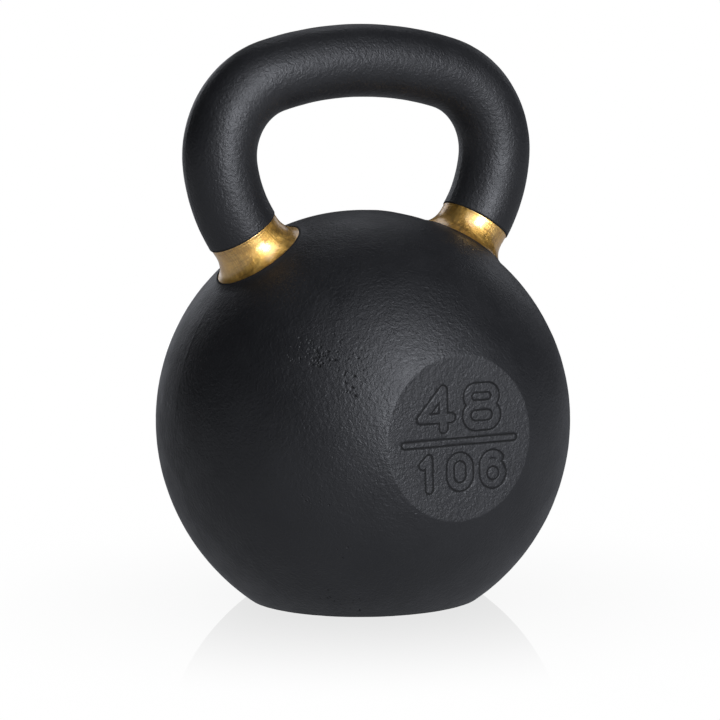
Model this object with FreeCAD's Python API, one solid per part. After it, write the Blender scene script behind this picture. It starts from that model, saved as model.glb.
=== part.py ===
"""A 48 kg gravity-cast kettlebell: one iron casting, its powder coat and two gold bands.

Units are millimetres. The origin is the middle of the flat base, +Z is up, the handle
spans X and the weight mark faces -Y. The +X half of the handle is drawn and mirrored.
"""
import FreeCAD, Part

import math
import os

from FreeCAD import Vector

# Ball, to the coat's outer face: an ellipsoid above the equator, a fuller arc below it
BALL_RADIUS = 115.0
BALL_RISE = 116.5
EQUATOR_HEIGHT = 98.8
LOWER_ARC_RADIUS = 121.4
BASE_EDGE_RADIUS = 1.5
CHEEK_DEPTH = 106.6          # from the ball's axis to the round flats, front and back
CHEEK_HEIGHT = 100.5
CHEEK_DRAFT = 1.3            # degrees that each flat leans back

# Handle centreline: three tangent arcs from the middle of the grip down into the ball
GRIP_HEIGHT = 297.6
GRIP_ARC = (193.0, 16.0)     # radius and angle in degrees
CORNER_ARC = (45.1, 81.0)
LEG_ARC = (81.6, 52.0)
HANDLE_RADIUS = 20.0
ROOT_FILLET = 14.5

# Layers
COAT = 0.6                   # powder coat over the iron
BAND = 0.5                   # gold let into the iron, so its face is flush with the iron's
COAT_FOOT = 0.15             # the coat stops this far above the machined base

# Gold bands: from a square cut across the leg down to a circle on the ball
BAND_TOP = 154.7             # along the centreline from the middle of the grip
BAND_SKIRT_RADIUS = 25.6
BAND_SKIRT_SHIFT = 0.9       # the circle's middle lies this far outside the leg's own axis

# Weight mark: outlined numerals on the front flat, kilograms above a bar, pounds below
KILOGRAMS, POUNDS = "48", "106"
GROOVE_WIDTH = 0.85
GROOVE_DEPTH = 0.4
KILOGRAM_SIZE = (18.0, 20.0)  # of a numeral's centrelines
POUND_SIZE = (11.6, 16.0)
KILOGRAM_STROKE = 5.2
POUND_STROKE = 4.6
KILOGRAM_PITCH = 27.5
POUND_PITCH = 20.0
KILOGRAM_FOOT = 6.4          # of a numeral's centrelines, above the flat's middle
POUND_FOOT = -25.2
BAR_LENGTH = 66.0
BAR_STROKE = 3.6
BAR_LEVEL = -1.2

PARTS = "parts"
UP = Vector(0, 0, 1)
FINE = 0.001


def heading(angle):
    """A unit vector in the XZ plane, this many degrees below +X."""
    turn = math.radians(angle)
    return Vector(math.cos(turn), 0, -math.sin(turn))


def centreline():
    """The arcs of the +X half, each as centre, radius, first heading and length."""
    arcs = []
    point, angle = Vector(0, 0, GRIP_HEIGHT), 0.0
    for radius, sweep in (GRIP_ARC, CORNER_ARC, LEG_ARC):
        centre = point + heading(angle + 90) * radius
        arcs.append((centre, radius, angle, math.radians(sweep) * radius))
        angle += sweep
        point = centre - heading(angle + 90) * radius
    return arcs


def along(distance):
    """Point and direction at a distance along the centreline."""
    for centre, radius, angle, length in centreline():
        if distance <= length:
            turned = angle + math.degrees(distance / radius)
            return centre - heading(turned + 90) * radius, heading(turned)
        distance -= length
    raise ValueError("beyond the end of the centreline")


def root():
    """Point and direction where the centreline enters the ball."""
    outside = BAND_TOP
    inside = BAND_TOP + CORNER_ARC[0]
    while inside - outside > FINE:
        middle = (outside + inside) / 2
        point = along(middle)[0]
        if math.hypot(point.x / BALL_RADIUS, (point.z - EQUATOR_HEIGHT) / BALL_RISE) > 1:
            outside = middle
        else:
            inside = middle
    return along(inside)


def mirrored(shape):
    """The same shape on the -X side."""
    return shape.mirror(Vector(0, 0, 0), Vector(1, 0, 0))


def bar(inset):
    """The handle as a round bar, both legs running on into the ball."""
    arcs = []
    for centre, radius, angle, length in centreline():
        turns = (angle, angle + math.degrees(length / radius) / 2, angle + math.degrees(length / radius))
        points = [centre - heading(turn + 90) * radius for turn in turns]
        arcs.append(Part.Arc(*points).toShape())
    section = Part.Circle(Vector(0, 0, GRIP_HEIGHT), Vector(1, 0, 0), HANDLE_RADIUS - inset)
    half = Part.Wire(arcs).makePipeShell([Part.Wire(section.toShape())], True, False)
    return half.fuse(mirrored(half))


def ball(inset):
    """The ball with its rounded base edge and the two cheeks."""
    side = BALL_RADIUS - inset
    base = inset - COAT
    arc_radius = LOWER_ARC_RADIUS - inset
    foot_angle = math.asin((EQUATOR_HEIGHT - base) / arc_radius)
    equator = Vector(0, side, EQUATOR_HEIGHT)
    crown = Vector(0, 0, EQUATOR_HEIGHT + BALL_RISE - inset)
    bulge, foot = (equator + Vector(0, arc_radius * (math.cos(angle) - 1), -arc_radius * math.sin(angle))
                   for angle in (foot_angle / 2, foot_angle))
    axis_foot = Vector(0, 0, base)
    ellipse = Part.Ellipse(crown, equator, Vector(0, 0, EQUATOR_HEIGHT))
    upper = Part.ArcOfEllipse(ellipse, 0, math.pi / 2).toShape()
    outline = Part.Wire([Part.makeLine(axis_foot, foot), Part.Arc(foot, bulge, equator).toShape(),
                         upper, Part.makeLine(crown, axis_foot)])
    solid = Part.Face(outline).revolve(Vector(0, 0, 0), UP, 360)
    rim = [edge for edge in solid.Edges
           if edge.BoundBox.ZMax < base + COAT / 2 and edge.BoundBox.XLength > foot.y]
    solid = solid.makeFillet(BASE_EDGE_RADIUS + COAT - inset, rim)
    corner = Vector(-side, -side - CHEEK_DEPTH + inset, CHEEK_HEIGHT - side)
    block = Part.makeBox(2 * side, side, 2 * side, corner)
    block.rotate(Vector(0, inset - CHEEK_DEPTH, CHEEK_HEIGHT), Vector(1, 0, 0), -CHEEK_DRAFT)
    return solid.cut(block).cut(block.mirror(Vector(0, 0, 0), Vector(0, 1, 0)))


def body(inset):
    """Ball and handle in one, this far in from the coat's outer face, with filleted roots."""
    solid = ball(inset).fuse(bar(inset)).removeSplitter()
    entry = root()[0]
    reach = HANDLE_RADIUS + 2 * ROOT_FILLET
    rims = [edge for edge in solid.Edges if not edge.Degenerated and edge.Length > 3 * HANDLE_RADIUS
            and all((Vector(abs(p.x), p.y, p.z) - entry).Length < reach for p in edge.discretize(9))]
    return solid.makeFillet(ROOT_FILLET + inset, rims)


def band_zone():
    """The space round the +X leg's root that the gold band takes up."""
    entry, inwards = root()
    cut, square = along(BAND_TOP)
    reach = 2 * HANDLE_RADIUS
    middle = entry + inwards.cross(Vector(0, 1, 0)) * BAND_SKIRT_SHIFT
    skirt = Part.makeCylinder(BAND_SKIRT_RADIUS, 2 * reach, middle - inwards * reach, inwards)
    return skirt.common(Part.makeCylinder(2 * reach, 2 * reach, cut, square))


def right_band(iron):
    """The gold on the +X leg: a thin layer let into the iron, flush with it."""
    return iron.common(band_zone()).cut(body(COAT + BAND))


def numeral(figure, size):
    """A numeral's centrelines, as straight strokes and as arcs of circle, in its own box."""
    width, height = size
    waist = 0.54 * height
    half = width / 2
    if figure == "1":
        flag, stem = 0.3 * width, 0.62 * width
        return [((flag, 0.8 * height), (stem, height)), ((stem, height), (stem, 0))], []
    if figure == "4":
        stem = 0.74 * width
        level = 0.27 * height
        return [((stem, 0), (stem, height)), ((stem, height), (0, level)), ((0, level), (width, level))], []
    if figure == "0":
        sides = [((x, half), (x, height - half)) for x in (0, width)]
        return sides, [((half, half), half, 180, 360), ((half, height - half), half, 0, 180)]
    if figure == "6":
        spine = ((0, half), (0, height - half))
        return [spine], [((half, half), half, 0, 360), ((half, height - half), half, 40, 180)]
    lower, upper = waist / 2, (height - waist) / 2
    strokes, bends = [], []
    for middle, radius, reach in ((lower, lower, half), (waist + upper, upper, 0.92 * half)):
        left, right = half - reach + radius, half + reach - radius
        strokes += [((left, middle + side * radius), (right, middle + side * radius)) for side in (-1, 1)]
        bends += [((left, middle), radius, 90, 270), ((right, middle), radius, -90, 90)]
    return strokes, bends


def disc(radius, middle):
    return Part.Face(Part.Wire(Part.makeCircle(radius, middle)))


def thickened(strokes, bends, half):
    """Round-ended strokes as a flat face in the XY plane."""
    faces = []
    for (x1, y1), (x2, y2) in strokes:
        run = Vector(x2 - x1, y2 - y1, 0)
        side = Vector(-run.y, run.x, 0).normalize() * half
        start, end = Vector(x1, y1, 0), Vector(x2, y2, 0)
        corners = [start + side, end + side, end - side, start - side, start + side]
        faces.append(Part.Face(Part.makePolygon(corners)))
        faces += [disc(half, tip) for tip in (start, end)]
    for (x, y), radius, first, last in bends:
        middle = Vector(x, y, 0)
        ring = disc(radius + half, middle).cut(disc(radius - half, middle))
        if last - first < 360:
            span = math.radians(last - first)
            reach = 3 * (radius + half)
            corners = [middle + Vector(math.cos(turn), math.sin(turn), 0) * reach
                       for turn in (math.radians(first) + span * share for share in (0, 0.5, 1))]
            ring = ring.common(Part.Face(Part.makePolygon([middle] + corners + [middle])))
            ends = [middle + Vector(math.cos(turn), math.sin(turn), 0) * radius
                    for turn in (math.radians(first), math.radians(last))]
            faces += [disc(half, end) for end in ends]
        faces.append(ring)
    return faces[0].multiFuse(faces[1:])


def outlined(strokes, bends, stroke):
    """The groove that runs round a figure drawn with this stroke."""
    outer = thickened(strokes, bends, (stroke + GROOVE_WIDTH) / 2)
    inner = thickened(strokes, bends, (stroke - GROOVE_WIDTH) / 2)
    return outer.cut(inner).extrude(Vector(0, 0, 3 * GROOVE_DEPTH))


def mark():
    """The weight mark's grooves, standing on the front flat."""
    grooves = [outlined([((-BAR_LENGTH / 2, BAR_LEVEL), (BAR_LENGTH / 2, BAR_LEVEL))], [], BAR_STROKE)]
    rows = ((KILOGRAMS, KILOGRAM_SIZE, KILOGRAM_STROKE, KILOGRAM_PITCH, KILOGRAM_FOOT),
            (POUNDS, POUND_SIZE, POUND_STROKE, POUND_PITCH, POUND_FOOT))
    for text, size, stroke, pitch, foot in rows:
        start = -((len(text) - 1) * pitch + size[0]) / 2
        for place, figure in enumerate(text):
            groove = outlined(*numeral(figure, size), stroke)
            groove.translate(Vector(start + place * pitch, foot, 0))
            grooves.append(groove)
    drawn = Part.makeCompound(grooves)
    drawn.translate(Vector(0, 0, -GROOVE_DEPTH))
    drawn.rotate(Vector(0, 0, 0), Vector(1, 0, 0), 90 - CHEEK_DRAFT)
    drawn.translate(Vector(0, -CHEEK_DEPTH, CHEEK_HEIGHT))
    return drawn


def coatings(iron):
    """The powder coat in two areas: all of the ball, and the handle between the bands."""
    zone = band_zone()
    coat = body(0).cut(iron)
    coat = coat.cut(Part.makeBox(2 * BALL_RADIUS, 2 * BALL_RADIUS, COAT + COAT_FOOT,
                                 Vector(-BALL_RADIUS, -BALL_RADIUS, -COAT)))
    coat = coat.cut(zone).cut(mirrored(zone))
    handle, on_ball = sorted(coat.Solids, key=lambda solid: -solid.CenterOfMass.z)
    return on_ball.cut(mark()), handle


def main():
    iron = body(COAT)
    band = right_band(iron)
    on_ball, on_handle = coatings(iron)
    shapes = {
        "iron_casting": iron.cut(band).cut(mirrored(band)),
        "right_band": band,
        "left_band": mirrored(band),
        "ball_coating": on_ball,
        "handle_coating": on_handle,
    }
    os.makedirs(PARTS, exist_ok=True)
    for node, shape in shapes.items():
        print(node, shape.isValid(), len(shape.Solids), round(shape.Volume), shape.BoundBox)
        shape.exportStep(os.path.join(PARTS, node + ".step"))


main()
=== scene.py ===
"""Looks of the 48 kg gravity-cast kettlebell: cast skin under a black powder coat, gold bands, turned base.

Shapes are worked out in millimetres and turned into metres when an object is made.
"""

import math

import bmesh
import bpy
import numpy as np
from mathutils import Matrix, Vector, noise


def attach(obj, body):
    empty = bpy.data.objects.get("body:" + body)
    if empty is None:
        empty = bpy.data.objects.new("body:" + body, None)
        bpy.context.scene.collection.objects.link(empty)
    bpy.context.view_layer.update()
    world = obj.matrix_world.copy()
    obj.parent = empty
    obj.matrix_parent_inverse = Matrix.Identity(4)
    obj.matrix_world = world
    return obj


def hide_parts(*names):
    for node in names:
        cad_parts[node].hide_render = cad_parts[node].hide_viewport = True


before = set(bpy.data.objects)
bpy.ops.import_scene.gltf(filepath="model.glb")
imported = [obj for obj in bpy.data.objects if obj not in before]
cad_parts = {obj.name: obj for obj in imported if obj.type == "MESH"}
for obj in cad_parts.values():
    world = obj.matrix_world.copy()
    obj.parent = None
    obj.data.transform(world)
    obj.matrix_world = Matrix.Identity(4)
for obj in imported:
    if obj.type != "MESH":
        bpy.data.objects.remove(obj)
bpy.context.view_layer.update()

# Shape, in millimetres, as in the CAD source
BALL_RADIUS = 115.0
BALL_RISE = 116.5
EQUATOR_HEIGHT = 98.8
LOWER_ARC_RADIUS = 121.4
CHEEK_DEPTH = 106.6
CHEEK_HEIGHT = 100.5
CHEEK_DRAFT = math.radians(1.3)
GRIP_HEIGHT = 297.6
ARCS = ((193.0, 16.0), (45.1, 81.0), (81.6, 52.0))
HANDLE_RADIUS = 20.0
ROOT_FILLET = 14.5
COAT = 0.6
COAT_FOOT = 0.15
BAND_TOP = 154.7
BAND_SKIRT_RADIUS = 25.6
BAND_SKIRT_SHIFT = 0.9

GROOVE_WIDTH = 0.85
GROOVE_DEPTH = 0.4
KILOGRAMS = ("48", (18.0, 20.0), 5.2, 27.5, 6.4)      # text, size, stroke, pitch, foot
POUNDS = ("106", (11.6, 16.0), 4.6, 20.0, -25.2)
BAR_LENGTH, BAR_STROKE, BAR_LEVEL = 66.0, 3.6, -1.2
MARK_REACH = 42.0             # from the front cheek's middle to past the mark's corners

# Details that only the looks have, in millimetres
CHEEK_EDGE_EASE = 0.12        # how softly the cheeks' planes meet the ball
RIM_EASE = 0.35               # the coat's edges at the gold are rounded over by this much
FOOT_EASE = 0.15              # and its edge above the floor by this much
RIM_DEPTH = COAT + 0.15       # a rim's wall runs down into the iron
RIM_STEPS = 5
BAND_TUCK = 0.3               # the gold runs on this far under the coat
BEAD_HEIGHT = 0.14            # the gold's edges are a little thicker, as a brush leaves them
BEAD_WIDTH = 0.45
EDGE_SHADE_REACH = 0.7          # painted shade darkens the coat this close to its edges, where shadow falls
PIT_SHADE = 0.6               # how much painted shade a blow hole gets, where a groove of the mark gets 1
SEAM_WIDTH = 0.55
# Unevenness as height, size, octaves and seed
CAST_SKIN = ((0.10, 34, 2, 1), (0.045, 9, 2, 2), (0.022, 3.2, 2, 3))
SEAM_WANDER = (0.35, 14, 2, 5)
SEAM_HEIGHT = (0.10, 22, 2, 6)
LEAF_SKIN = ((0.05, 7), (0.022, 2.4))           # height and size

# Mesh sizes, in millimetres
EDGE_LENGTH = 1.0
CREASE_LENGTH, CREASE_REACH = 0.42, 0.45        # on the cheeks' edges
RIM_LENGTH, RIM_REACH = 0.6, 1.5                # by the coat's edges
SEAM_LENGTH, SEAM_REACH = 0.6, 1.4              # by the parting line
FINE_LENGTH, GROOVE_REACH, PIT_REACH = 0.26, 0.85, 0.4      # by the mark's outlines and the blow holes
SNAP_REACH = 0.22             # vertices this close to a trimmed edge move on to it
HANDLE_LENGTH = 0.95
BAND_GRID = (320, 52)         # round it, and down it

# Studio, in metres; bearings go from the camera to its right
CAMERA_AZIMUTH, CAMERA_ELEVATION, CAMERA_ROLL = -28.288, 6.519, -0.537
CAMERA_DISTANCE, CAMERA_LENS = 1.5758, 141.9
CAMERA_AIM_RIGHT, CAMERA_AIM_HEIGHT = -0.0013, 0.1321
COOL_WHITE = (0.955, 0.985, 1.07)
FLOOR_SIZE, FLOOR_LEVEL = 40.0, -0.0003
FLOOR_BOUNCE = 0.35           # how bright the floor is to everything but the camera
FLOOR_LIGHT, FLOOR_LIGHT_SPREAD = 3.5, math.radians(140)
FLOOR_GLOW = 0.95             # how much of the floor's white is its own, which thins the shadow
MIRROR_SHARE = 0.19           # how strongly the floor mirrors the object's foot
MIRROR_START, MIRROR_END = 0.05, 0.26
SOFTBOX_SIZE, SOFTBOX_DISTANCE, SOFTBOX_MIDDLE = 0.9, 2.0, 0.12
# Softboxes: bearing, elevation, power
SOFTBOXES = (("key_low", 30, 2, 18.7), ("key", 30, 22, 24.7), ("key_high", 30, 45, 4.1),
             ("front_top", 0, 45, 3.2), ("rim_right", 150, 22, 1.4), ("rim_top", 180, 45, 2.0),
             ("rim_left_low", 210, 2, 1.4), ("rim_left", 210, 22, 2.4))

FAR = 99.0                    # stands for a distance that is out of reach
CENTRE = np.array([0.0, 0.0, EQUATOR_HEIGHT])
Y_AXIS = np.array([0.0, 1.0, 0.0])
RNG = np.random.default_rng(48)


# ---------------------------------------------------------------- shape

def unit(vectors):
    return vectors / np.linalg.norm(vectors, axis=-1, keepdims=True)


def heading(angle):
    """The way in the handle's plane that dips below +X by this angle."""
    turn = np.radians(angle)
    return np.stack([np.cos(turn), 0 * turn, -np.sin(turn)], axis=-1)


def centreline():
    """The +X half's arcs, from the grip's middle down: centre, radius, first heading and length."""
    arcs = []
    point, angle = np.array([0.0, 0.0, GRIP_HEIGHT]), 0.0
    for radius, sweep in ARCS:
        centre = point + heading(angle + 90.0) * radius
        arcs.append((centre, radius, angle, math.radians(sweep) * radius))
        angle += sweep
        point = centre - heading(angle + 90.0) * radius
    return arcs


def along(distance):
    """Points and directions at distances from the grip's middle towards +X, or -X if negative."""
    distance = np.asarray(distance, float)
    left = np.abs(distance)
    point = np.zeros(distance.shape + (3,))
    way = np.zeros_like(point)
    start = 0.0
    for centre, radius, angle, length in centreline():
        here = left >= start
        turned = angle + np.degrees((left[here] - start) / radius)
        point[here] = centre - heading(turned + 90.0) * radius
        way[here] = heading(turned)
        start += length
    flip = np.where(distance < 0, -1.0, 1.0)
    point[..., 0] *= flip
    way[..., 1:] *= flip[..., None]
    return point, way


def handle_radius(distance):
    """The grip is a touch slimmer in the middle than at its roots."""
    return HANDLE_RADIUS - 0.2 + 0.5 * (distance / BAND_TOP) ** 2


def root():
    """Where the centreline goes into the ball, and which way it points there."""
    outside, inside = BAND_TOP, BAND_TOP + 40
    while inside - outside > 0.001:
        middle = (outside + inside) / 2
        point = along(middle)[0]
        if math.hypot(point[0] / BALL_RADIUS, (point[2] - EQUATOR_HEIGHT) / BALL_RISE) > 1:
            outside = middle
        else:
            inside = middle
    return along(inside)


ROOT, ROOT_WAY = root()
SKIRT = ROOT + np.cross(ROOT_WAY, Y_AXIS) * BAND_SKIRT_SHIFT


def cheek_planes():
    """Each cheek's normal and its distance from the ball's centre."""
    for side in (-1, 1):
        normal = np.array([0, side * math.cos(CHEEK_DRAFT), math.sin(CHEEK_DRAFT)])
        yield normal, normal @ (np.array([0, side * CHEEK_DEPTH, CHEEK_HEIGHT]) - CENTRE)


def round_reach(ways):
    """How far the ball reaches from its centre, before the cheeks are cut."""
    flat, up = np.hypot(ways[:, 0], ways[:, 1]), ways[:, 2]
    upper = 1 / np.sqrt((flat / BALL_RADIUS) ** 2 + (up / BALL_RISE) ** 2)
    shift = BALL_RADIUS - LOWER_ARC_RADIUS
    lower = shift * flat + np.sqrt(LOWER_ARC_RADIUS ** 2 - (shift * up) ** 2)
    return np.where(up >= 0, upper, lower)


def cheek_gap(ways):
    """How much further the ball would reach than the nearer cheek's plane; negative off the cheeks."""
    full = round_reach(ways)
    gap = np.full(len(ways), -FAR)
    for normal, depth in cheek_planes():
        lean = ways @ normal
        facing = lean > 0.5
        gap[facing] = full[facing] - depth / lean[facing]
    return gap


def leg_gap(points, inset):
    """Distance outside the +X leg below its corner, as a bent bar, with the surface moved in by inset."""
    centre, radius, _, _ = centreline()[2]
    round_centre = np.hypot(points[..., 0] - centre[0], points[..., 2] - centre[2])
    return np.hypot(round_centre - radius, points[..., 1]) - handle_radius(BAND_TOP) + inset


def dome_gap(points, inset):
    """Distance outside the ball's upper half, with the surface moved in by inset."""
    sizes = np.array([BALL_RADIUS - inset, BALL_RADIUS - inset, BALL_RISE - inset])
    off = (points - CENTRE) / sizes
    size = np.linalg.norm(off, axis=-1)
    return (size - 1) * size / np.linalg.norm(off / sizes, axis=-1)


def slope_of(gap, points, inset):
    """The unit vectors along which gap grows."""
    shifts = np.eye(3) * 0.01
    return unit(np.stack([gap(points + s, inset) - gap(points - s, inset) for s in shifts], axis=-1))


OUT_WAY = -ROOT_WAY
ACROSS = np.cross(OUT_WAY, Y_AXIS)


def rolling_ball(inset, columns):
    """The +X root's fillet, as a ball that rolls round the leg: its middles, and its ways to leg and ball."""
    turns = np.linspace(0, 2 * math.pi, columns, endpoint=False)
    radial = np.cos(turns)[:, None] * ACROSS + np.sin(turns)[:, None] * Y_AXIS
    radius = ROOT_FILLET + inset
    rho, rise = np.full(columns, HANDLE_RADIUS + radius), np.full(columns, radius)

    def at(rho, rise):
        return ROOT + OUT_WAY * rise[:, None] + radial * rho[:, None]

    for _ in range(12):                         # Newton steps, far more than are needed
        here = at(rho, rise)
        miss = np.stack([leg_gap(here, inset) - radius, dome_gap(here, inset) - radius], axis=1)
        jacobian = np.zeros((columns, 2, 2))
        for k, gap in enumerate((leg_gap, dome_gap)):
            jacobian[:, k, 0] = (gap(at(rho + 0.01, rise), inset) - gap(here, inset)) / 0.01
            jacobian[:, k, 1] = (gap(at(rho, rise + 0.01), inset) - gap(here, inset)) / 0.01
        change = np.linalg.solve(jacobian, miss[..., None])[..., 0]
        rho, rise = rho - change[:, 0], rise - change[:, 1]
    middles = at(rho, rise)
    return middles, -slope_of(leg_gap, middles, inset), -slope_of(dome_gap, middles, inset)


ROLL_STEPS = 1440
ROLL_MIDDLES, ROLL_TO_LEG, ROLL_TO_BALL = rolling_ball(0, ROLL_STEPS)


def fillet_rise(points, ways):
    """How far the fillets stand off the ball, along each way from the ball's centre.

    Each point walks out by its distance from the rolling ball at its side of the leg, until it touches it.
    """
    flip = np.where(points[:, :1] < 0, [-1.0, 1.0, 1.0], 1.0)
    points, ways = points * flip, ways * flip
    rise = np.zeros(len(points))
    close = np.flatnonzero(np.linalg.norm(points - ROOT, axis=1) < HANDLE_RADIUS + 2.5 * ROOT_FILLET)
    for step in range(14):
        here = points[close] + ways[close] * rise[close, None]
        turn = np.arctan2((here - ROOT) @ Y_AXIS, (here - ROOT) @ ACROSS)
        place = np.round(turn / (2 * math.pi) * ROLL_STEPS).astype(int) % ROLL_STEPS
        off = here - ROLL_MIDDLES[place]
        if step == 0:
            legwards = (off * ROLL_TO_LEG[place]).sum(axis=1)
            lean = (ROLL_TO_LEG[place] * ROLL_TO_BALL[place]).sum(axis=1)
            inside = legwards > lean * (off * ROLL_TO_BALL[place]).sum(axis=1)
            close, off = close[inside], off[inside]
        gap = np.linalg.norm(off, axis=1) - ROOT_FILLET
        rise[close] = np.clip(rise[close] + gap, 0, 0.8 * ROOT_FILLET)
    return rise


def ball_points(ways):
    """The ball's surface along ways from its centre, with the cheeks' edges eased and the legs' fillets."""
    gap = cheek_gap(ways)
    eased = np.where(gap > -2, (gap + np.sqrt(gap ** 2 + CHEEK_EDGE_EASE ** 2)) / 2, 0)
    reach = round_reach(ways) - eased
    high = np.flatnonzero(ways[:, 2] > 0.4)
    reach[high] += fillet_rise(CENTRE + ways[high] * reach[high, None], ways[high])
    return CENTRE + ways * reach[:, None]


# ---------------------------------------------------------------- mesh work

def edge_table(faces):
    """The edges, the edges of each face in the order 01, 12, 20, and how many faces use each edge."""
    count = int(faces.max()) + 1
    pairs = np.sort(faces[:, [0, 1, 1, 2, 2, 0]].reshape(-1, 2), axis=1).astype(np.int64)
    keys, back, uses = np.unique(pairs[:, 0] * count + pairs[:, 1], return_inverse=True, return_counts=True)
    return np.stack([keys // count, keys % count], axis=1), back.reshape(-1, 3), uses


def split(faces, middles):
    """Faces with new vertices on some edges: middles is the vertex on edges 01, 12 and 20, or -1."""
    count = (middles >= 0).sum(axis=1)
    made = [faces[count == 0]]

    def turned(rows, start):
        order = (start[:, None] + np.arange(3)) % 3
        f = np.take_along_axis(faces[rows], order, axis=1).T
        return f, np.take_along_axis(middles[rows], order, axis=1).T

    rows = count == 1
    f, m = turned(rows, middles[rows].argmax(axis=1))
    made += [np.stack([f[0], m[0], f[2]], 1), np.stack([m[0], f[1], f[2]], 1)]
    rows = count == 2
    f, m = turned(rows, (middles[rows].argmin(axis=1) + 1) % 3)
    made += [np.stack([m[0], f[1], m[1]], 1), np.stack([f[0], m[0], m[1]], 1),
             np.stack([f[0], m[1], f[2]], 1)]
    rows = count == 3
    f, m = turned(rows, np.zeros(rows.sum(), int))
    made += [np.stack([f[0], m[0], m[2]], 1), np.stack([m[0], f[1], m[1]], 1),
             np.stack([m[2], m[1], f[2]], 1), np.stack([m[0], m[1], m[2]], 1)]
    return np.concatenate(made)


def refined(ways, faces, wanted):
    """Splits the ball's edges that are much longer than wanted at their middles, a few times over."""
    for _ in range(4):
        points = ball_points(ways)
        edges, back, _ = edge_table(faces)
        ends = points[edges]
        length = np.linalg.norm(ends[:, 0] - ends[:, 1], axis=1)
        far = length > 1.4 * wanted(ends.mean(axis=1))
        if not far.any():
            break
        fresh = np.full(len(edges), -1)
        fresh[far] = len(ways) + np.arange(far.sum())
        ways = np.concatenate([ways, unit(ways[edges[far]].sum(axis=1))])
        faces = split(faces, fresh[back])
    return ways, faces


def trimmed(ways, faces, gap):
    """Keeps the ball where gap is positive, with a clean edge where it is zero. gap gives value and slope."""
    def settled(found):
        """Moves ways on to the place where gap is zero."""
        for _ in range(10):
            points = ball_points(found)
            value, slope = gap(points)
            found = unit(points - value[:, None] * slope - CENTRE)
        return found

    value = gap(ball_points(ways))[0]
    near = np.abs(value) < SNAP_REACH
    ways = ways.copy()
    ways[near] = settled(ways[near])
    value[near] = 0
    edges, back, _ = edge_table(faces)
    ends = value[edges]
    crossed = ends[:, 0] * ends[:, 1] < 0
    fresh = np.full(len(edges), -1)
    fresh[crossed] = len(ways) + np.arange(crossed.sum())
    share = np.abs(ends[crossed]) / np.abs(ends[crossed]).sum(axis=1, keepdims=True)
    added = ways[edges[crossed, 0]] * share[:, 1:] + ways[edges[crossed, 1]] * share[:, :1]
    ways = np.concatenate([ways, settled(unit(added))])
    value = np.concatenate([value, np.zeros(crossed.sum())])
    faces = split(faces, fresh[back])
    faces = faces[value[faces].sum(axis=1) > 0]
    used, faces = np.unique(faces, return_inverse=True)
    return ways[used], faces.reshape(-1, 3)


def normals(points, faces):
    a, b, c = (points[faces[:, k]] for k in range(3))
    cross = np.cross(b - a, c - a)
    total = np.zeros_like(points)
    for k in range(3):
        for axis in range(3):
            total[:, axis] += np.bincount(faces[:, k], weights=cross[:, axis], minlength=len(points))
    return unit(total)


def rim_edges(faces):
    """Edges with a face on one side only, in that face's own order."""
    _, back, uses = edge_table(faces)
    lone = uses[back] == 1
    after = np.roll(faces, -1, axis=1)
    return np.stack([faces[lone], after[lone]], axis=1)


def rim_profile(radius):
    """A rim's rounded edge and its wall, as steps outwards and down."""
    turns = np.linspace(0, math.pi / 2, RIM_STEPS + 1)[1:]
    return [(radius * math.sin(turn), radius * (1 - math.cos(turn))) for turn in turns] + [(radius, RIM_DEPTH)]


def turned_in(points, faces, on_rim, over, up, radius):
    """Eases the rim through these points over and down into a wall. over and up are unit vectors."""
    rim = rim_edges(faces)
    rim = rim[np.isin(rim, on_rim).all(axis=1)]
    members = np.unique(rim)
    place = np.full(len(points), -1)
    place[members] = np.arange(len(members))
    base, over, up = points[members], over[members], up[members]
    a, b = place[rim[:, 0]], place[rim[:, 1]]
    last = members
    for run, sink in rim_profile(radius):
        fresh = len(points) + np.arange(len(members))
        points = np.concatenate([points, base + over * run - up * sink])
        faces = np.concatenate([faces, np.stack([last[b], last[a], fresh[a]], 1),
                                np.stack([last[b], fresh[a], fresh[b]], 1)])
        last = fresh
    return points, faces


def relief(points, size, octaves, seed):
    """Smooth noise at each point, about -1 to 1, with features of this size in millimetres."""
    offset = Vector((seed * 17.3, seed * 5.1, seed * 9.7))
    return np.array([noise.fractal(Vector(p) + offset, 0.7, 2.1, octaves) for p in (points / size).tolist()])


def new_object(name, points, faces, material, crevice_shade=None):
    """A smooth-shaded object, with an attribute of how deep in a groove, pit or edge each point lies, from 0
    to 1, which the coat's material turns into painted shade.
    """
    mesh = bpy.data.meshes.new(name)
    mesh.from_pydata((points * 0.001).tolist(), [], faces.tolist())
    if crevice_shade is not None:
        mesh.attributes.new("crevice_shade", "FLOAT", "POINT").data.foreach_set("value", crevice_shade)
    mesh.validate()
    mesh.shade_smooth()
    mesh.materials.append(material)
    piece = bpy.data.objects.new(name, mesh)
    bpy.context.scene.collection.objects.link(piece)
    return piece


# ---------------------------------------------------------------- weight mark

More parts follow.
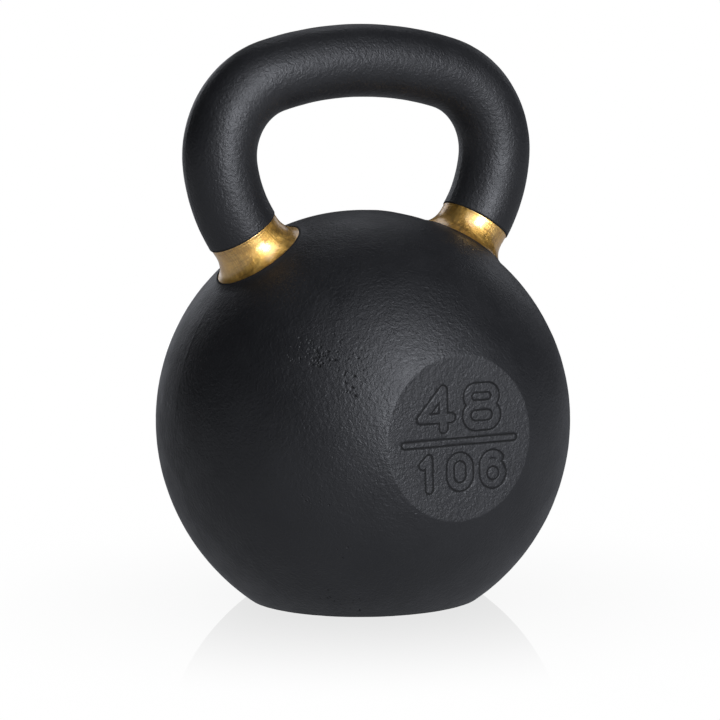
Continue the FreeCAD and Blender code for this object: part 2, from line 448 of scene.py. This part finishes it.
def numeral(figure, size):
    """The middle line of one figure: its straight strokes, and its bends as middle, radius and angles."""
    width, height = size
    waist = 0.54 * height
    half = width / 2
    if figure == "1":
        stem = 0.62 * width
        return [((0.3 * width, 0.8 * height), (stem, height)), ((stem, height), (stem, 0))], []
    if figure == "4":
        stem, level = 0.74 * width, 0.27 * height
        return [((stem, 0), (stem, height)), ((stem, height), (0, level)), ((0, level), (width, level))], []
    if figure == "0":
        sides = [((x, half), (x, height - half)) for x in (0, width)]
        return sides, [((half, half), half, 180, 360), ((half, height - half), half, 0, 180)]
    if figure == "6":
        spine = ((0, half), (0, height - half))
        return [spine], [((half, half), half, 0, 360), ((half, height - half), half, 40, 180)]
    lower, upper = waist / 2, (height - waist) / 2
    strokes, bends = [], []
    for middle, radius, reach in ((lower, lower, half), (waist + upper, upper, 0.92 * half)):
        left, right = half - reach + radius, half + reach - radius
        strokes += [((left, middle + side * radius), (right, middle + side * radius)) for side in (-1, 1)]
        bends += [((left, middle), radius, 90, 270), ((right, middle), radius, -90, 90)]
    return strokes, bends


def figures():
    """Every figure of the mark as its strokes, its bends and half its stroke."""
    tips = [np.array([side * BAR_LENGTH / 2, BAR_LEVEL]) for side in (-1, 1)]
    made = [([tips], [], BAR_STROKE / 2)]
    for text, size, stroke, pitch, foot in (KILOGRAMS, POUNDS):
        start = -((len(text) - 1) * pitch + size[0]) / 2
        for place, figure in enumerate(text):
            shift = np.array([start + place * pitch, foot])
            strokes, bends = numeral(figure, size)
            strokes = [(shift + a, shift + b) for a, b in strokes]
            bends = [(shift + middle, radius, first, last) for middle, radius, first, last in bends]
            made.append((strokes, bends, stroke / 2))
    return made


def from_outline(spots):
    """Distance from each spot on the cheek to the nearest outline of the weight mark."""
    nearest = np.full(len(spots), FAR)
    for strokes, bends, half in figures():
        apart = np.full(len(spots), FAR)
        for start, end in strokes:
            run = end - start
            share = np.clip((spots - start) @ run / (run @ run), 0, 1)
            apart = np.minimum(apart, np.linalg.norm(spots - start - share[:, None] * run, axis=1))
        for middle, radius, first, last in bends:
            off = spots - middle
            turn = np.degrees(np.arctan2(off[:, 1], off[:, 0]))
            inside = (turn - first) % 360 <= last - first
            apart = np.where(inside, np.minimum(apart, np.abs(np.linalg.norm(off, axis=1) - radius)), apart)
            for tip in (first, last):
                angle = math.radians(tip)
                end = middle + radius * np.array([math.cos(angle), math.sin(angle)])
                apart = np.minimum(apart, np.linalg.norm(spots - end, axis=1))
        nearest = np.minimum(nearest, np.abs(apart - half))
    return nearest


def cheek_spots(points):
    """Across and up on the front cheek, from its middle."""
    return np.stack([points[:, 0], (points[:, 2] - CHEEK_HEIGHT) / math.cos(CHEEK_DRAFT)], axis=1)


def on_front_cheek(points):
    """Whether each point is near enough to the front cheek's middle to be on the weight mark."""
    return (points[:, 1] < 0) & (np.hypot(points[:, 0], points[:, 2] - CHEEK_HEIGHT) < MARK_REACH)


# ---------------------------------------------------------------- casting flaws

# Clusters of small blow holes: azimuth and elevation on the ball, spread, number, smallest and largest radius
PIT_CLUSTERS = ((-40.5, 23.0, 3.0, 30, (0.35, 0.8)), (-43.5, 26.0, 4.2, 18, (0.3, 0.65)),
                (-48.0, 24.0, 2.6, 12, (0.3, 0.6)), (-35.5, 26.5, 4.0, 8, (0.3, 0.55)),
                (-31.5, 17.0, 4.0, 12, (0.35, 0.65)), (-30.0, 22.0, 6.0, 6, (0.3, 0.5)),
                (-41.0, -14.0, 4.0, 12, (0.25, 0.45)), (-36.0, -29.0, 6.0, 4, (0.3, 0.5)),
                (-42.0, -47.5, 3.5, 8, (0.3, 0.55)), (-31.0, -49.0, 3.5, 7, (0.3, 0.55)),
                (150.0, 5.0, 9.0, 14, (0.35, 0.7)), (70.0, -12.0, 8.0, 9, (0.3, 0.6)))


def pits():
    """Where each blow hole is, its radius and its depth."""
    found = []
    for azimuth, elevation, spread, number, (small, large) in PIT_CLUSTERS:
        a, e = math.radians(azimuth), math.radians(elevation)
        out = np.array([math.sin(a) * math.cos(e), -math.cos(a) * math.cos(e), math.sin(e)])
        side = unit(np.cross([0, 0, 1], out))
        up = np.cross(out, side)
        for _ in range(number):
            u, v = RNG.normal(0, spread, 2)
            radius = RNG.uniform(small, large)
            middle = ball_points(unit(out * BALL_RADIUS + side * u + up * v)[None])[0]
            found.append((middle, radius, radius * RNG.uniform(0.7, 1.1)))
    return found


PITS = pits()


def pit_depth(points):
    """Depth of the blow holes, ragged rather than round."""
    depth = np.zeros(len(points))
    for middle, radius, deep in PITS:
        near = np.flatnonzero(np.abs(points - middle).max(axis=1) < 1.6 * radius)
        ragged = 0.35 * relief(points[near], size=0.7, octaves=1, seed=7)
        apart = np.linalg.norm(points[near] - middle, axis=1) / radius + ragged
        depth[near] = np.maximum(depth[near], deep * np.clip(1 - apart ** 2, 0, 1) ** 0.6)
    return np.minimum(depth, COAT)


def from_pits(points):
    """Distance from each point to the nearest blow hole's edge."""
    nearest = np.full(len(points), FAR)
    for middle, radius, _ in PITS:
        near = np.abs(points - middle).max(axis=1) < radius + 1
        nearest[near] = np.minimum(nearest[near], np.linalg.norm(points[near] - middle, axis=1) - radius)
    return nearest


def seam(points):
    """The mould's parting line: a low dressed ridge in the handle's plane, ground away in places."""
    in_plane = points * [1, 0, 1]
    wander = SEAM_WANDER[0] * relief(in_plane, *SEAM_WANDER[1:])
    height = SEAM_HEIGHT[0] + SEAM_HEIGHT[0] * relief(in_plane, *SEAM_HEIGHT[1:])
    return np.clip(height, 0.02, 0.2) * np.exp(-((points[:, 1] - wander) / SEAM_WIDTH) ** 2)


def cast_skin(points):
    """How far a casting's skin stands off its true shape."""
    return sum(height * relief(points, size, octaves, seed) for height, size, octaves, seed in CAST_SKIN)


# ---------------------------------------------------------------- pieces

def horn_gap(points):
    """Distance outside the gold band's lower edge, and its slope."""
    side = np.where(points[:, 0] < 0, -1.0, 1.0)
    off = np.stack([points[:, 0] * side, points[:, 1], points[:, 2]], axis=1) - SKIRT
    off -= (off @ ROOT_WAY)[:, None] * ROOT_WAY
    apart = np.linalg.norm(off, axis=1)
    slope = off / np.maximum(apart, 1e-9)[:, None]
    slope[:, 0] *= side
    value = apart - BAND_SKIRT_RADIUS - RIM_EASE
    value[points[:, 2] < EQUATOR_HEIGHT] = FAR
    return value, slope


def foot_gap(points):
    """Distance above the coat's lower edge, and its slope."""
    slope = np.zeros_like(points)
    slope[:, 2] = 1
    return points[:, 2] - COAT_FOOT - FOOT_EASE, slope


def ball_detail(points):
    """Wanted edge length at each point."""
    length = np.full(len(points), EDGE_LENGTH)
    length[np.abs(cheek_gap(unit(points - CENTRE))) < CREASE_REACH] = CREASE_LENGTH
    length[np.abs(points[:, 1]) < SEAM_REACH] = SEAM_LENGTH
    for gap in (horn_gap, foot_gap):
        length[np.abs(gap(points)[0]) < RIM_REACH] = RIM_LENGTH
    front = np.flatnonzero(on_front_cheek(points))
    length[front[from_outline(cheek_spots(points[front])) < GROOVE_REACH]] = FINE_LENGTH
    length[from_pits(points) < PIT_REACH] = FINE_LENGTH
    return length


def make_ball(material):
    """The coated ball: a globe refined where there is detail, trimmed at the gold and above the floor."""
    bm = bmesh.new()
    bmesh.ops.create_icosphere(bm, subdivisions=8, radius=1.0)
    ways = np.array([v.co[:] for v in bm.verts])
    faces = np.array([[v.index for v in f.verts] for f in bm.faces])
    bm.free()
    ways, faces = refined(unit(ways), faces, ball_detail)
    ways, faces = trimmed(ways, faces, horn_gap)
    ways, faces = trimmed(ways, faces, foot_gap)
    smooth = ball_points(ways)
    out = normals(smooth, faces)
    holes = pit_depth(smooth)
    front = np.flatnonzero(on_front_cheek(smooth))
    apart = from_outline(cheek_spots(smooth[front])) / (GROOVE_WIDTH / 2)
    holes[front] += GROOVE_DEPTH * np.clip(1.3 - apart ** 4, 0, 1) ** 0.8
    points = smooth + out * (cast_skin(smooth) + seam(smooth) - holes)[:, None]
    for gap, radius in ((horn_gap, RIM_EASE), (foot_gap, FOOT_EASE)):
        value, slope = gap(smooth)
        over = -slope + (slope * out).sum(axis=1)[:, None] * out
        on_rim = np.flatnonzero(np.abs(value) < 0.01)
        points, faces = turned_in(points, faces, on_rim, unit(over), out, radius)
    # Painted shade: grooves of the mark, blow holes and the coat beside the gold and the floor get a darkening
    # amount, which the coat's material turns into near-black colour
    depth_shade = np.full(len(smooth), PIT_SHADE)
    depth_shade[front] = 1
    to_rim = np.minimum(horn_gap(smooth)[0], foot_gap(smooth)[0])
    crevice_shade = np.ones(len(points))
    crevice_shade[:len(smooth)] = np.maximum(depth_shade * np.clip(holes / GROOVE_DEPTH, 0, 1),
                                       np.clip(1 - to_rim / EDGE_SHADE_REACH, 0, 1))
    return new_object("ball_powder_coat", points, faces, material, crevice_shade)


def grid_faces(rows, columns):
    """Quads over a grid of points that closes on itself along each row."""
    row, column = np.meshgrid(np.arange(rows - 1), np.arange(columns), indexing="ij")
    here, right = row * columns + column, row * columns + (column + 1) % columns
    return np.stack([here, right, right + columns, here + columns], axis=-1).reshape(-1, 4)


def make_handle(material):
    """The coated handle: rings along the centreline, with its ends eased over and down to the iron."""
    step = HANDLE_LENGTH
    end = BAND_TOP - RIM_EASE
    rows = int(2 * end / step)
    columns = int(2 * math.pi * HANDLE_RADIUS / step)
    distance = np.linspace(-end, end, rows)
    turns = np.linspace(0, 2 * math.pi, columns, endpoint=False)
    middle, way = along(distance)
    across = np.cross(way, Y_AXIS)
    out = np.cos(turns)[None, :, None] * across[:, None] + np.sin(turns)[None, :, None] * Y_AXIS
    points = middle[:, None] + out * handle_radius(distance)[:, None, None]
    flat = points.reshape(-1, 3)
    lift = (cast_skin(flat) + seam(flat)).reshape(rows, columns)
    points = points + out * lift[..., None]
    profile = rim_profile(RIM_EASE)
    first = [points[0] - way[0] * run - out[0] * sink for run, sink in profile[::-1]]
    last = [points[-1] + way[-1] * run - out[-1] * sink for run, sink in profile]
    grid = np.concatenate([first, points, last])
    # Painted shade: the eased rings at each end, by the gold, are marked for full darkening in the coat's
    # colour
    crevice_shade = np.ones(grid.shape[:2])
    crevice_shade[len(profile) + 1:-len(profile) - 1] = 0
    return new_object("handle_powder_coat", grid.reshape(-1, 3), grid_faces(len(grid), columns), material,
                      crevice_shade.ravel())


def band_profiles(inset, columns, rows):
    """The band's face as lines down from the leg, round the fillet and out on to the ball."""
    turns = np.linspace(0, 2 * math.pi, columns, endpoint=False)
    round_way = np.sin(turns)[:, None] * Y_AXIS
    radial = np.cos(turns)[:, None] * ACROSS + round_way
    middles, to_leg, to_ball = rolling_ball(inset, columns)
    radius = ROOT_FILLET + inset
    top, top_way = along(BAND_TOP - BAND_TUCK)
    top_radial = np.cos(turns)[:, None] * np.cross(-top_way, Y_AXIS) + round_way
    start = top + (handle_radius(BAND_TOP) - inset) * top_radial
    leg_foot = middles + radius * to_leg
    lines = []
    for share in np.linspace(0, 1, 12)[:-1]:                # down the leg
        here = start + share * (leg_foot - start)
        lines.append(here - leg_gap(here, inset)[:, None] * slope_of(leg_gap, here, inset))
    for share in np.linspace(0, 1, 49):                     # round the fillet
        lines.append(middles + radius * unit((1 - share) * to_leg + share * to_ball))
    for reach in np.linspace(0.3, 3, 10):                   # out on the ball
        here = middles + radius * to_ball + radial * reach
        lines.append(here - dome_gap(here, inset)[:, None] * slope_of(dome_gap, here, inset))
    lines = np.array(lines)
    off = lines - SKIRT
    rho = np.linalg.norm(off - (off @ OUT_WAY)[..., None] * OUT_WAY, axis=-1)
    low = np.arange(len(lines)) > 12
    grid = np.zeros((rows, columns, 3))
    for column in range(columns):
        line = lines[:, column]
        run = np.concatenate([[0], np.cumsum(np.linalg.norm(np.diff(line, axis=0), axis=1))])
        skirt = BAND_SKIRT_RADIUS + BAND_TUCK
        past = np.flatnonzero((rho[:, column] > skirt) & low)[0]
        share = (skirt - rho[past - 1, column]) / (rho[past, column] - rho[past - 1, column])
        end = run[past - 1] + share * (run[past] - run[past - 1])
        spots = np.linspace(0, end, rows)
        grid[:, column] = np.stack([np.interp(spots, run, line[:, axis]) for axis in range(3)], axis=1)
    return grid


def make_band(name, side, material, seed):
    """One gold band, on the +X root or the -X root."""
    columns, rows = BAND_GRID
    grid = band_profiles(COAT, columns, rows)
    grid[..., 0] *= side
    faces = grid_faces(rows, columns)
    triangles = np.concatenate([faces[:, [0, 1, 2]], faces[:, [0, 2, 3]]])
    points = grid.reshape(-1, 3)
    out = normals(points, triangles)
    if (out * (points - ROOT * [side, 1, 1])).sum() < 0:
        faces, out = faces[:, ::-1], -out
    lift = sum(height * relief(points, size, 2, seed + k) for k, (height, size) in enumerate(LEAF_SKIN))
    steps = np.linalg.norm(np.diff(grid, axis=0), axis=2)
    run = np.concatenate([np.zeros((1, columns)), np.cumsum(steps, axis=0)])
    edge = np.minimum(run, run[-1] - run).ravel() - BAND_TUCK
    lift += BEAD_HEIGHT * np.exp(-((edge - BEAD_WIDTH) / BEAD_WIDTH) ** 2)
    points = points + out * lift[:, None]
    return new_object(name, points, faces, material)


# ---------------------------------------------------------------- materials

class Nodes:
    """Short calls for building a material's nodes."""

    def __init__(self, name):
        self.material = bpy.data.materials.new(name)
        self.material.use_nodes = True
        self.tree = self.material.node_tree
        self.tree.nodes.clear()
        self.output = self.add("ShaderNodeOutputMaterial")
        self.shader = self.add("ShaderNodeBsdfPrincipled")
        self.link(self.shader.outputs[0], self.output.inputs[0])
        self.place = self.add("ShaderNodeTexCoord").outputs["Object"]

    def add(self, kind, **settings):
        node = self.tree.nodes.new(kind)
        for key, value in settings.items():
            setattr(node, key, value)
        return node

    def link(self, start, end):
        self.tree.links.new(start, end)

    def put(self, value, socket):
        if isinstance(value, bpy.types.NodeSocket):
            self.link(value, socket)
        else:
            socket.default_value = value

    def noise(self, scale, detail=2.0, rough=0.5, distortion=0.0, place=None):
        """Noise with this many features to a metre."""
        node = self.add("ShaderNodeTexNoise")
        self.link(place or self.place, node.inputs["Vector"])
        node.inputs["Scale"].default_value = scale
        node.inputs["Detail"].default_value = detail
        node.inputs["Roughness"].default_value = rough
        node.inputs["Distortion"].default_value = distortion
        return node.outputs["Fac"]

    def cells(self, scale):
        """Distance to the nearest of scattered points, with this many to a metre."""
        node = self.add("ShaderNodeTexVoronoi")
        self.link(self.place, node.inputs["Vector"])
        node.inputs["Scale"].default_value = scale
        return node.outputs["Distance"]

    def vector(self, x, y, z):
        node = self.add("ShaderNodeCombineXYZ")
        for value, socket in zip((x, y, z), node.inputs):
            self.put(value, socket)
        return node.outputs[0]

    def parts(self, vector):
        node = self.add("ShaderNodeSeparateXYZ")
        self.link(vector, node.inputs[0])
        return node.outputs

    def blend(self, share, a, b):
        """A mix of two shaders."""
        node = self.add("ShaderNodeMixShader")
        self.put(share, node.inputs[0])
        self.link(a, node.inputs[1])
        self.link(b, node.inputs[2])
        return node.outputs[0]

    def math(self, operation, a, b=0.0):
        node = self.add("ShaderNodeMath", operation=operation)
        self.put(a, node.inputs[0])
        self.put(b, node.inputs[1])
        return node.outputs[0]

    def ramp(self, value, low, high, to_low=0.0, to_high=1.0):
        """A smooth step from to_low to to_high, as value goes from low to high."""
        node = self.add("ShaderNodeMapRange", interpolation_type="SMOOTHSTEP")
        self.link(value, node.inputs["Value"])
        for name, number in (("From Min", low), ("From Max", high), ("To Min", to_low), ("To Max", to_high)):
            node.inputs[name].default_value = number
        return node.outputs["Result"]

    def mix(self, share, a, b):
        node = self.add("ShaderNodeMix", data_type="RGBA")
        self.put(share, node.inputs["Factor"])
        self.put(a, node.inputs[6])
        self.put(b, node.inputs[7])
        return node.outputs[2]

    def bump(self, height, distance, normal=None):
        """A normal for a height of this many metres, on top of an earlier normal."""
        node = self.add("ShaderNodeBump")
        self.link(height, node.inputs["Height"])
        node.inputs["Distance"].default_value = distance
        if normal is not None:
            self.link(normal, node.inputs["Normal"])
        return node.outputs["Normal"]

    def finish(self, **values):
        """Sets the shader's sockets, named with _ for a space."""
        for name, value in values.items():
            self.put(value, self.shader.inputs[name.replace("_", " ")])
        return self.material


def powder_coat():
    """Satin black with an orange-peel grain, a few pale specks, and painted shade darkening its grooves, blow
    holes and edges.
    """
    n = Nodes("black_powder_coat")
    pebble = n.noise(500, 1.5, 0.5, 0.8)
    grain = n.noise(1050, 2.0, 0.6, 1.2)
    tooth = n.noise(3000, 2.0, 0.6)
    normal = n.bump(pebble, 0.00034)
    normal = n.bump(grain, 0.00010, normal)
    normal = n.bump(tooth, 0.00001, normal)
    patch = n.ramp(n.noise(22, 4.0, 0.6), 0.35, 0.68)
    colour = n.mix(patch, (0.0085, 0.0087, 0.0096, 1), (0.0115, 0.0117, 0.0127, 1))
    specks = n.ramp(n.cells(420), 0.10, 0.05, 0.0, 0.5)
    sparse = n.ramp(n.noise(160, 1.0), 0.60, 0.66)
    colour = n.mix(n.math("MULTIPLY", specks, sparse), colour, (0.09, 0.09, 0.092, 1))
    # Painted shade: grooves, blow holes and the coat's edges go nearly black in colour, and are made rougher
    # too
    painted_crevice_shade = n.add("ShaderNodeAttribute", attribute_name="crevice_shade").outputs["Fac"]
    colour = n.mix(n.ramp(painted_crevice_shade, 0.05, 0.6), colour, (0.002, 0.002, 0.002, 1))
    rough = n.ramp(n.noise(70, 3.0), 0.3, 0.7, 0.45, 0.52)
    rough = n.math("ADD", rough, n.math("MULTIPLY", painted_crevice_shade, 0.45))
    return n.finish(Base_Color=colour, Roughness=rough, Normal=normal)


def round_leg(n):
    """Along and round the legs from their roots, in metres, the same on both sides."""
    x, y, z = n.parts(n.place)
    off = n.add("ShaderNodeVectorMath", operation="SUBTRACT")
    n.link(n.vector(n.math("ABSOLUTE", x), y, z), off.inputs[0])
    off.inputs[1].default_value = ROOT * 0.001
    runs = []
    for axis in (OUT_WAY, ACROSS, Y_AXIS):
        dot = n.add("ShaderNodeVectorMath", operation="DOT_PRODUCT")
        n.link(off.outputs[0], dot.inputs[0])
        dot.inputs[1].default_value = axis
        runs.append(dot.outputs["Value"])
    along_leg, across, forward = runs
    turn = n.math("ARCTAN2", forward, n.math("MULTIPLY", across, -1.0))
    return along_leg, n.math("MULTIPLY", turn, HANDLE_RADIUS * 0.001)


def gold_leaf():
    """Brushed and mottled gold under a clear coat, with darker strokes where it is rough."""
    n = Nodes("gold_leaf")
    along_leg, around = round_leg(n)

    def strokes(up_leg, round_it, seed):
        """Brush strokes, with this many to a metre along the leg and round it."""
        where = n.vector(n.math("MULTIPLY", along_leg, up_leg), n.math("MULTIPLY", around, round_it), seed)
        return n.noise(1.0, 4.0, 0.65, 0.7, where)

    mottle = n.noise(130, 4.0, 0.65, 0.8)
    ringed, lengthwise = strokes(760, 70, 1.0), strokes(80, 800, 7.0)
    wrinkle = n.noise(420, 3.0, 0.6, 1.5)
    where_rough = n.ramp(n.noise(52, 2.0), 0.40, 0.62)
    worn = n.ramp(where_rough, 0.0, 1.0, 0.10, 1.0)
    normal = n.bump(mottle, 0.00025)
    normal = n.bump(n.math("MULTIPLY", wrinkle, where_rough), 0.00024, normal)
    normal = n.bump(ringed, 0.00018, normal)
    normal = n.bump(n.math("MULTIPLY", lengthwise, where_rough), 0.00018, normal)
    colour = n.mix(n.ramp(mottle, 0.35, 0.7), (0.80, 0.455, 0.095, 1), (0.97, 0.61, 0.155, 1))
    rings = n.math("MULTIPLY", n.ramp(ringed, 0.42, 0.75, 0, 0.55), worn)
    colour = n.mix(rings, colour, (0.33, 0.16, 0.03, 1))
    lines = n.math("MULTIPLY", n.ramp(lengthwise, 0.42, 0.75, 0, 0.5), where_rough)
    colour = n.mix(lines, colour, (0.28, 0.135, 0.025, 1))
    rough = n.ramp(n.noise(260, 4.0, 0.6, 0.5), 0.3, 0.7, 0.40, 0.56)
    return n.finish(Base_Color=colour, Metallic=1.0, Roughness=rough, Normal=normal,
                    Coat_Weight=1.0, Coat_Roughness=0.24, Coat_IOR=1.9)


def machined_iron():
    """Grey iron turned in a lathe, with a tool mark every 0.7 mm and some staining."""
    n = Nodes("machined_iron")
    x, y, _ = n.parts(n.place)
    ring = n.math("SQRT", n.math("ADD", n.math("MULTIPLY", x, x), n.math("MULTIPLY", y, y)))
    turning = n.math("SINE", n.math("MULTIPLY", ring, 2 * math.pi / 0.0007))
    grain = n.noise(700, 4.0, 0.6)
    normal = n.bump(turning, 0.000012)
    normal = n.bump(grain, 0.00002, normal)
    stain = n.ramp(n.noise(55, 5.0, 0.6), 0.45, 0.72)
    colour = n.mix(stain, (0.30, 0.295, 0.29, 1), (0.13, 0.115, 0.10, 1))
    rough = n.ramp(n.noise(90, 3.0), 0.3, 0.7, 0.34, 0.55)
    return n.finish(Base_Color=colour, Metallic=1.0, Roughness=rough, Normal=normal)


def studio_floor():
    """White and faintly mirroring near the object, and dim to everything but the camera, as under flags."""
    n = Nodes("pale_floor")
    tone = n.mix(n.noise(6, 2.0), (0.90, 0.90, 0.905, 1), (0.92, 0.92, 0.925, 1))
    glow = n.add("ShaderNodeEmission")
    glow.inputs["Color"].default_value = (1, 1, 1, 1)
    mirror = n.add("ShaderNodeBsdfGlossy")
    mirror.inputs["Roughness"].default_value = 0.0
    dim = n.add("ShaderNodeEmission")
    dim.inputs["Color"].default_value = (*COOL_WHITE, 1)
    dim.inputs["Strength"].default_value = FLOOR_BOUNCE
    far = n.add("ShaderNodeVectorMath", operation="LENGTH")
    n.link(n.place, far.inputs[0])
    share = n.ramp(far.outputs["Value"], MIRROR_START, MIRROR_END, MIRROR_SHARE, 0.0)
    lit = n.blend(FLOOR_GLOW, n.shader.outputs[0], glow.outputs[0])
    polished = n.blend(share, lit, mirror.outputs[0])
    to_camera = n.add("ShaderNodeLightPath").outputs["Is Camera Ray"]
    n.link(n.blend(to_camera, dim.outputs[0], polished), n.output.inputs[0])
    return n.finish(Base_Color=tone, Roughness=0.9, Specular_IOR_Level=0.0)


# ---------------------------------------------------------------- studio

def make_floor():
    """The floor, with a light of its own. Returns a collection that tells other lights to pass it by."""
    mesh = bpy.data.meshes.new("floor")
    corners = [(x * FLOOR_SIZE, y * FLOOR_SIZE, FLOOR_LEVEL) for x, y in ((-1, -1), (1, -1), (1, 1), (-1, 1))]
    mesh.from_pydata(corners, [], [(0, 1, 2, 3)])
    mesh.materials.append(studio_floor())
    floor = bpy.data.objects.new("floor", mesh)
    bpy.context.scene.collection.objects.link(floor)

    lit, all_but_floor = (bpy.data.collections.new(name) for name in ("floor_only", "all_but_floor"))
    lit.objects.link(floor)
    all_but_floor.objects.link(floor)
    all_but_floor.collection_objects[0].light_linking.link_state = "EXCLUDE"
    lamp = bpy.data.lights.new("floor_light", "SUN")
    lamp.energy = FLOOR_LIGHT
    lamp.angle = FLOOR_LIGHT_SPREAD
    held = bpy.data.objects.new("floor_light", lamp)
    bpy.context.scene.collection.objects.link(held)
    held.light_linking.receiver_collection = lit
    return all_but_floor


def make_world():
    """White to the camera and in the floor's mirror image, and black as a light."""
    world = bpy.data.worlds.new("studio")
    bpy.context.scene.world = world
    world.use_nodes = True
    tree = world.node_tree
    tree.nodes.clear()
    output = tree.nodes.new("ShaderNodeOutputWorld")
    seen = tree.nodes.new("ShaderNodeBackground")
    cast = tree.nodes.new("ShaderNodeBackground")
    seen.inputs["Color"].default_value = (1, 1, 1, 1)
    cast.inputs["Color"].default_value = (0, 0, 0, 1)
    path = tree.nodes.new("ShaderNodeLightPath")
    blend = tree.nodes.new("ShaderNodeMixShader")
    white = tree.nodes.new("ShaderNodeMath")
    white.operation = "MAXIMUM"
    tree.links.new(path.outputs["Is Camera Ray"], white.inputs[0])
    tree.links.new(path.outputs["Is Singular Ray"], white.inputs[1])
    tree.links.new(white.outputs[0], blend.inputs[0])
    tree.links.new(cast.outputs[0], blend.inputs[1])
    tree.links.new(seen.outputs[0], blend.inputs[2])
    tree.links.new(blend.outputs[0], output.inputs[0])


def softboxes(back, right, receivers):
    """Round softboxes on a dome round the object. back points to the camera, right to its right."""
    middle = Vector((0, 0, SOFTBOX_MIDDLE))
    forward, side = (Vector((way.x, way.y, 0)).normalized() for way in (back, right))
    for name, bearing, elevation, power in SOFTBOXES:
        b, e = math.radians(bearing), math.radians(elevation)
        way = (forward * math.cos(b) + side * math.sin(b)) * math.cos(e) + Vector((0, 0, math.sin(e)))
        lamp = bpy.data.lights.new(name, "AREA")
        lamp.shape = "DISK"
        lamp.size = SOFTBOX_SIZE
        lamp.energy = power
        lamp.color = COOL_WHITE
        held = bpy.data.objects.new(name, lamp)
        held.location = middle + way * SOFTBOX_DISTANCE
        held.rotation_euler = (-way).to_track_quat("-Z", "Y").to_euler()
        held.visible_camera = False
        held.light_linking.receiver_collection = receivers
        bpy.context.scene.collection.objects.link(held)


def make_camera():
    """The camera. Returns the way from the object to it, and the way to its right."""
    azimuth, elevation, roll = (math.radians(a) for a in (CAMERA_AZIMUTH, CAMERA_ELEVATION, CAMERA_ROLL))
    level = Vector((math.sin(azimuth), -math.cos(azimuth), 0))
    back = level * math.cos(elevation) + Vector((0, 0, math.sin(elevation)))
    right = Vector((math.cos(azimuth), math.sin(azimuth), 0))
    up = right.cross(-back)
    aim = right * CAMERA_AIM_RIGHT + Vector((0, 0, CAMERA_AIM_HEIGHT))
    right, up = right * math.cos(roll) + up * math.sin(roll), up * math.cos(roll) - right * math.sin(roll)
    lens = bpy.data.cameras.new("camera")
    lens.sensor_width = 36.0
    lens.lens = CAMERA_LENS
    lens.clip_end = 50
    held = bpy.data.objects.new("camera", lens)
    turn = Matrix((right, up, back)).transposed()
    held.matrix_world = Matrix.Translation(aim + back * CAMERA_DISTANCE) @ turn.to_4x4()
    bpy.context.scene.collection.objects.link(held)
    bpy.context.scene.camera = held
    return back, right


to_camera, to_right = make_camera()
softboxes(to_camera, to_right, make_floor())
make_world()

coat = powder_coat()
gold = gold_leaf()
ball = make_ball(coat)
handle = make_handle(coat)
left_band = make_band("left_gold_band", -1, gold, 21)
right_band = make_band("right_gold_band", 1, gold, 31)
for piece, node, slot in ((ball, "ball_coating", "powder_coat"), (handle, "handle_coating", "powder_coat"),
                          (left_band, "left_band", "gold"), (right_band, "right_band", "gold")):
    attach(piece, "root")
    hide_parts(node)

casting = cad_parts["iron_casting"]
casting.data.materials.clear()
casting.data.materials.append(machined_iron())

bpy.context.scene.view_settings.view_transform = "Standard"
